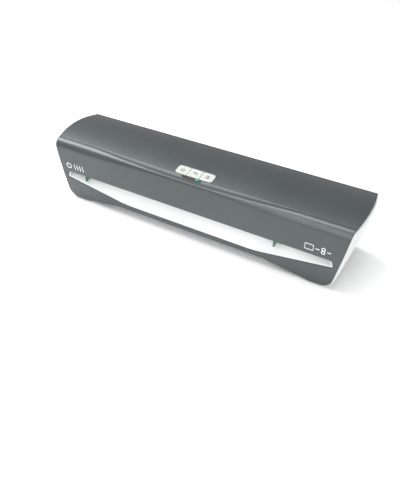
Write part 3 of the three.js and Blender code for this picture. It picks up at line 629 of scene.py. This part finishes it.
def filled(name, outlines, level, thickness, lift, finish):
    """A plate with rounded edges: the first outline is its rim, and any others are holes."""
    edge = 0.4
    curve = bpy.data.curves.new(name, "CURVE")
    curve.dimensions = "2D"
    curve.fill_mode = "BOTH"
    curve.extrude = (thickness / 2 - edge) * MM
    curve.bevel_depth = edge * MM
    curve.bevel_resolution = 2
    curve.offset = -edge * MM
    for outline in outlines:
        spline = curve.splines.new("POLY")
        spline.points.add(len(outline) - 1)
        for point, (a, b) in zip(spline.points, outline):
            point.co = (a * MM, b * MM, 0, 1)
        spline.use_cyclic_u = True
    source = bpy.data.objects.new(name, curve)
    bpy.context.scene.collection.objects.link(source)
    graph = bpy.context.evaluated_depsgraph_get()
    mesh = bpy.data.meshes.new_from_object(source.evaluated_get(graph), depsgraph=graph)
    bpy.data.objects.remove(source)
    for vert in mesh.vertices:
        a, b, depth = vert.co / MM
        vert.co = Vector(lift(a, b, level + thickness / 2 + depth)) * MM
    made = bpy.data.objects.new(name, mesh)
    bpy.context.scene.collection.objects.link(made)
    mesh.materials.clear()
    mesh.materials.append(finish)
    outward(made, merge=True)
    shade(made)
    return made


def rear_panel():
    """The rear panel, with the exit slot, two rows of vents and the inlet's cut-out."""
    wide, narrow = (end_at(50, z) - CAP_LIP - GAP for z in (PANEL_TOP, PANEL_LOW))
    rim = fillet([(wide, PANEL_TOP, 1), (-wide, PANEL_TOP, 1), (-narrow, PANEL_LOW, 1),
                  (narrow, PANEL_LOW, 1)], 3)
    inlet_low, inlet_high = (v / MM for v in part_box("mains_inlet"))
    middle, size = (inlet_low + inlet_high) / 2, inlet_high - inlet_low
    holes = [rect(0, EXIT_SLOT["z"], EXIT_SLOT["length"], EXIT_SLOT["height"], 2.5),
             rect(middle.x, middle.z, size.x + 2 * GAP, size.z + 2 * GAP, 1.5)]
    vent = REAR_VENTS
    for side in (-1, 1):
        for i in range(11):
            x = side * (vent["first"] + vent["pitch"] * i)
            holes.append(rect(x, vent["z"], vent["width"], vent["height"], 1.5, 4))
    made = filled("rear_cover_panel", [rim] + holes, REAR_Y - 2.5, 2.3, along_y, BODY)
    return place(made, "housing", "body", "rear_panel")


def mouth_floor(x):
    """Height of the opening's lower edge at x, with the same soft turn as the outline."""
    m = MOUTH
    slope = (m["end_z"] - m["flat_z"]) / (m["end_x"] - m["flat_x"])
    soft = 12.0
    past = abs(x) - m["flat_x"]
    eased = 0 if past < -soft else (past + soft) ** 2 / (4 * soft) if past < soft else past
    return m["flat_z"] + slope * eased


def entry_ramp():
    """The lower entry guide: a ramp that rises from the opening's lower edge to the feed slot."""
    half = MOUTH["end_x"] - 1.3
    rings = []
    for i in range(-60, 61):
        x = half * i / 60
        low = mouth_floor(x) + GAP + 0.1
        rise = SHELF_Z - low
        top = [(-50.1, low + 0.6), (-50.0, low + 1.1), (-49.6, low + 1.4)]
        for share in [k / 12 for k in range(1, 13)]:
            climbed = low + 1.4 + (rise - 1.4) * math.sin(share * math.pi / 2)
            top.append((-49.6 + (RAMP_END_Y + 49.6) * share, climbed))
        top.append((SHELF_END_Y, SHELF_Z) if abs(x) < GUIDE_X else (RAMP_END_Y + 0.3, SHELF_Z))
        under = [(y, z - 2.0) for y, z in reversed(top[4:])]
        under += [(-47.3, low - 1), (-47.4, low), (-50.0, low), (-50.1, low + 0.1)]
        rings.append([(x, y, z) for y, z in top + under])
    made = loft("entry_ramp", rings, BODY)
    wall_x, wall_z = MOUTH["top_x"] - 0.1, ROOF_Z - GAP
    line = [(half + 0.3, 36.6), (wall_x, wall_z), (wall_x - 1.5, wall_z), (half - 1.2, 36.6)]
    for side in (-1, 1):
        wall = prism("wall", [(side * a, b) for a, b in line], -50, RAMP_END_Y, along_y)
        boolean(made, wall, "UNION")
    boolean(made, prism("track", rect(0, TRACK_Y, 390, 2, 0.4), 38.2, 44, upright))
    return place(made, "housing", "body", "lower_entry_guide")


def base_plate():
    """The flat base plate, set back under the arch, with vents and a recess for each foot."""
    x, front, rear = END_X - END_TAPER - CAP_LIP, FRONT_Y + 4.3, REAR_Y - 2.9
    bay_x, bay_y = 158, -39.5
    outline = fillet([(-x, front, 1), (-bay_x - 8, front, 3), (-bay_x, bay_y, 3), (bay_x, bay_y, 3),
                      (bay_x + 8, front, 3), (x, front, 1), (x, rear, 1), (-x, rear, 1)], 5)
    made = filled("base_plate_sheet", [outline], PLATE_LOW, PLATE_T, upright, BODY)
    for i in range(-5, 6):
        boolean(made, prism("vent", rect(24 * i, -28, 16, 4, 1.9, 4), 2, 6, upright))
    for sx in (-1, 1):
        for sy in (-1, 1):
            recess = arc(sx * FOOT["x"], sy * FOOT["y"], FOOT["r"] + GAP, 0, 360, 48)[:-1]
            boolean(made, prism("recess", recess, 1, 3.4, upright))
    return place(made, "housing", "body", "base_plate")


def foot(name):
    """A round rubber foot, dished underneath, that stands on a ring."""
    low, high = (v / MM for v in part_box(name))
    centre = ((low.x + high.x) / 2, (low.y + high.y) / 2)
    profile = [(0.7, 0.4), (0.7, 3.4), (0.0, 4.2), (0.0, 6.6), (0.25, 7.2), (0.9, 7.9), (1.4, FOOT["r"]),
               (3.1, FOOT["r"]), (3.1, 0.4)]
    made = turned(name + "_pad", profile, centre, RUBBER, "Z", 48)
    return place(made, "housing", "rubber", name)


# ---- Controls --------------------------------------------------------------------------------------------
BUTTONS = ("standby_button", "reverse_button", "thickness_button")


def key_outline(index, shrink):
    """A button's outline on the slope: large round corners at the bar's ends, small ones between keys."""
    left = -BAR["length"] / 2 + index * KEY_PITCH + (KEY_GAP / 2 if index else 0) + shrink
    right = -BAR["length"] / 2 + (index + 1) * KEY_PITCH - (KEY_GAP / 2 if index < 2 else 0) - shrink
    deep = BAR["depth"] / 2 - shrink
    big, small = max(0.2, BAR["round"] - shrink), 0.35
    r_left, r_right = (big if index == 0 else small), (big if index == 2 else small)
    return fillet([(right, deep, r_right), (left, deep, r_left), (left, -deep, r_left),
                   (right, -deep, r_right)], 6)


def key(index):
    """A button: a rounded cap with a slightly dished top."""
    name = BUTTONS[index]
    proud = BAR["proud"]
    layers = [(0.0, -2.4), (0.0, proud - 0.6), (0.08, proud - 0.33), (0.25, proud - 0.12)]
    layers += [(0.5, proud - 0.02), (0.8, proud), (3.0, proud - 0.1), (5.5, proud - 0.2)]
    rings = [[on_slope(a, b, level) for a, b in key_outline(index, shrink)] for shrink, level in layers]
    made = loft(name + "_cap", rings, KEYS)
    return place(made, name, "button", name)


def stroke(name, paths, width, level, thickness, lift, finish):
    """Pad print: each path of (a, b) points is a ribbon of one width with square ends."""
    verts, faces = [], []
    for path in paths:
        closed = path[0] == path[-1]
        points = [Vector(p) for p in (path[:-1] if closed else path)]
        count = len(points)
        start = len(verts)
        for i, here in enumerate(points):
            before = points[i - 1] if closed or i else here
            after = points[(i + 1) % count] if closed or i < count - 1 else here
            run = (after - before).normalized()
            side = Vector((-run.y, run.x)) * width / 2
            for spot in (here + side, here - side):
                verts += [lift(spot.x, spot.y, level), lift(spot.x, spot.y, level + thickness)]
        for i in range(count if closed else count - 1):
            a, b = start + 4 * i, start + 4 * ((i + 1) % count)
            faces += [(a + 1, a + 3, b + 3, b + 1), (a, b, b + 2, a + 2)]
            faces += [(a, a + 1, b + 1, b), (a + 2, b + 2, b + 3, a + 3)]
        if not closed:
            last = start + 4 * (count - 1)
            faces += [(start, start + 2, start + 3, start + 1), (last, last + 1, last + 3, last + 2)]
    made = mesh_piece(name, verts, faces, finish)
    outward(made)
    return made


def key_mark(index):
    """The generic pictogram on a button: standby, reverse, or sheet thickness."""
    x = (index - 1) * KEY_PITCH
    standby = [arc(x, -0.3, 2.4, 50, -230), [(x, 0.2), (x, 3.0)]]
    tip = [(x - 0.4, 2.7), (x - 2.4, 0.9), (x - 0.4, -0.9)]
    back = [[(x + 2.7, -2.2), (x + 2.7, 0.9), (x - 2.2, 0.9)], tip]
    sheets = [[(x - 2.6, b), (x + 2.6, b)] for b in (-2.2, 0.0, 2.2)]
    name = BUTTONS[index].replace("button", "mark")
    paths = (standby, back, sheets)[index]
    made = stroke(name, paths, 0.85, BAR["proud"] - 0.15, 0.12, on_slope, PRINT)
    return place(made, BUTTONS[index], "black_plastic")


def light_strip():
    """The smoked strip in front of the buttons, with a green and a red window."""
    x, y, length, depth = STRIP["x"], STRIP["y"], STRIP["length"], STRIP["depth"]
    rings = []
    for shrink, level in ((0.0, -3.4), (0.0, -0.1), (0.15, 0.04), (0.45, 0.08)):
        outline = rect(x, y, length - 2 * shrink, depth - 2 * shrink, 1.1 - shrink)
        rings.append([on_slope(a, b, level) for a, b in outline])
    made = loft("status_lens", rings, SMOKED)
    place(made, "housing", "strip", "status_light_strip")
    for colour, x, finish in (("green", 8, GREEN_LIT), ("red", -3, RED_OFF_PAINTED_GLOW)):
        window = prism(colour + "_window", rect(x, y, 5.2, 1.5, 0.7), 0.05, 0.14, on_slope, finish)
        place(window, "housing", colour + "_lens")


def front_marks():
    """Generic white pictograms on the front: standby with warmth waves at the left, and a sheet that goes
    between two rollers at the right."""
    left = [arc(-205, 57, 4.2, 60, -240), [(-205, 57.5), (-205, 62)]]
    for x in (-194, -189, -184, -179):
        left.append([(x + 0.9 * math.sin(t * math.pi / 6), 52.4 + t * 0.75) for t in range(0, 13)])
    sheet = [(172, 53), (172, 61), (183, 61), (183, 53), (172, 53)]
    rollers = [arc(196, z, 2.2, 0, 360) for z in (59.4, 54.6)]
    right = [sheet, [(186, 57), (191, 57)], *rollers, [(201, 57), (206, 57)]]
    proud = 0.03
    on_front = lambda a, b, level: (a, front_face(b) - proud + level, b)
    for name, paths in (("left_front_mark", left), ("right_front_mark", right)):
        made = stroke(name, paths, 1.15, 0, 0.1, on_front, WHITE_PRINT)
        place(made, "housing", "button")


# ---- Pouch guides ----------------------------------------------------------------------------------------
def pouch_guide(name):
    """A sliding pouch guide: an upright fence with a rounded nose, on a foot with a tongue in the track."""
    low, high = (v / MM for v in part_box(name))
    mirrored = low.x > 0
    face = -low.x if mirrored else high.x
    front, back, foot_z, top = -51.2, -33.6, SHELF_Z + GAP, ROOF_Z - GAP
    line = fillet([(front, 36.6, 0.4), (front, top, 2.0), (back, top, 0.5), (back, foot_z, 0.3),
                   (-43.8, foot_z, 2)], 5)
    middle = face - 5.1
    fence = prism(name + "_fence", line, face - 2.6, face, along_x, GREEN)
    bevel(fence, 0.35)
    boolean(fence, prism("pad", rect(middle, -38.6, 7.8, 10, 1.0), 39.7, 40.9, upright), "UNION")
    boolean(fence, prism("tongue", rect(middle, TRACK_Y, 7.8, 1.4, 0.2), 38.5, 40.3, upright), "UNION")
    if mirrored:
        fence.data.transform(Matrix.Scale(-1, 4, (1, 0, 0)))
        fence.data.flip_normals()
    return place(fence, name, "guide_green", name)


# ---- Rollers ---------------------------------------------------------------------------------------------
def roller_sleeve(name):
    """A silicone sleeve, turned smooth, with rounded ends. Its bore isn't cut: the shaft's core fills it."""
    low, high = (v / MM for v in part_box(name + "_sleeve"))
    shaft_low, shaft_high = (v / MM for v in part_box(name + "_shaft"))
    centre = ((low.y + high.y) / 2, (low.z + high.z) / 2)
    radius = (high.z - low.z) / 2
    half, core = high.x, (shaft_high.z - shaft_low.z) / 2 + 0.1
    profile = [(-half, core), (-half, radius - 0.8), (-half + 0.25, radius - 0.25), (-half + 0.9, radius)]
    profile += [(-x, r) for x, r in reversed(profile)]
    made = turned(name + "_cover", profile, centre, SILICONE, "X", 72)
    return place(made, name + "_roller", "silicone", name + "_sleeve")


# ---- Fasteners and stage ---------------------------------------------------------------------------------
def screw_rows():
    """Pan-head screws on the underside, placed by a Geometry Nodes tree at the points of a mesh."""
    sizes = {"Head radius": 3.0, "Head height": 1.4}
    tree, given = new_tree("screws_at_points", sizes)
    cut = add_node(tree, "GeometryNodeMeshCylinder", {"Vertices": 24, "Radius": given["Head radius"],
                                                      "Depth": given["Head height"]})
    size = add_node(tree, "ShaderNodeCombineXYZ", {0: 3.6 * MM, 1: 0.9 * MM, 2: 1.2 * MM})
    arm = add_node(tree, "GeometryNodeMeshCube", {"Size": size.outputs[0]})
    for turn in (0, math.pi / 2):
        placing = {"Geometry": arm.outputs[0], "Rotation": (0, 0, turn), "Translation": (0, 0, -0.7 * MM)}
        bar = add_node(tree, "GeometryNodeTransform", placing)
        cut = add_node(tree, "GeometryNodeMeshBoolean", {"Mesh 1": cut.outputs[0], "Mesh 2": bar.outputs[0]},
                       operation="DIFFERENCE", solver="EXACT")
    values = {"Points": given["Geometry"], "Instance": cut.outputs[0]}
    spots = add_node(tree, "GeometryNodeInstanceOnPoints", values)
    real = add_node(tree, "GeometryNodeRealizeInstances", {"Geometry": spots.outputs[0]})
    finish_tree(tree, real, given["Material"])
    points = [(x, y, 2.2) for x in (-150, -50, 50, 150) for y in (-35, 42)]
    made = mesh_piece("base_screws", points, [], ZINC)
    run_tree(made, tree, {**{name: value * MM for name, value in sizes.items()}, "Material": ZINC})
    return place(made, "housing", "zinc_steel")


def lamp(name, spot, wide, deep, power, turn=None):
    """A rectangular lamp that looks at the machine, or is turned by three angles in degrees."""
    made = bpy.data.lights.new(name, "AREA")
    made.shape = "RECTANGLE"
    made.size, made.size_y = wide, deep
    made.energy = power
    holder = bpy.data.objects.new(name, made)
    holder.location = spot
    if turn:
        holder.rotation_euler = [math.radians(angle) for angle in turn]
    else:
        holder.rotation_euler = (Vector((0, 0, 0.05)) - Vector(spot)).to_track_quat("-Z", "Y").to_euler()
    bpy.context.scene.collection.objects.link(holder)


def studio():
    """A plain pale floor, soft light and the camera."""
    scene = bpy.context.scene
    reach = 4000
    corners = [(-reach, -reach, 0), (reach, -reach, 0), (reach, reach, 0), (-reach, reach, 0)]
    floor = mesh_piece("floor", corners, [(0, 1, 2, 3)], shader_of("pale_floor", "#fafafa", 0.9)[0])
    world = bpy.data.worlds.new("studio")
    world.use_nodes = True
    scene.world = world
    world.node_tree.nodes["Background"].inputs["Color"].default_value = (1, 1, 1, 1)
    world.node_tree.nodes["Background"].inputs["Strength"].default_value = 0.45
    lamp("overhead", (-0.72, 0.15, 1.62), 2.4, 0.9, 34, (5, -24, 0))
    lamp("ridge_strip", (-0.76, -0.76, 1.52), 2.4, 0.35, 14)
    lamp("front_fill", (0.3, -1.9, 0.9), 1.8, 0.8, 14)
    lamp("right_fill", (1.9, -0.2, 0.7), 1.0, 1.0, 5)
    lens = bpy.data.cameras.new("camera")
    lens.lens = 39.52
    lens.sensor_width = 36
    camera = bpy.data.objects.new("camera", lens)
    camera.location = (0.3272, -0.5700, 0.4804)
    camera.rotation_euler = (math.radians(90 - 39.36), 0, math.radians(30.44))
    scene.collection.objects.link(camera)
    scene.camera = camera
    scene.view_settings.view_transform = "Standard"


studio()
dress_cad_nodes()
top_cover()
end_cap("left_end_cap", -1)
end_cap("right_end_cap", 1)
rear_panel()
entry_ramp()
base_plate()
for corner in ("front_left", "front_right", "rear_left", "rear_right"):
    foot(corner + "_foot")
for number in range(3):
    key(number)
    key_mark(number)
light_strip()
front_marks()
pouch_guide("left_pouch_guide")
pouch_guide("right_pouch_guide")
for roller in ("lower_hot", "upper_hot", "lower_pull", "upper_pull"):
    roller_sleeve(roller)
screw_rows()
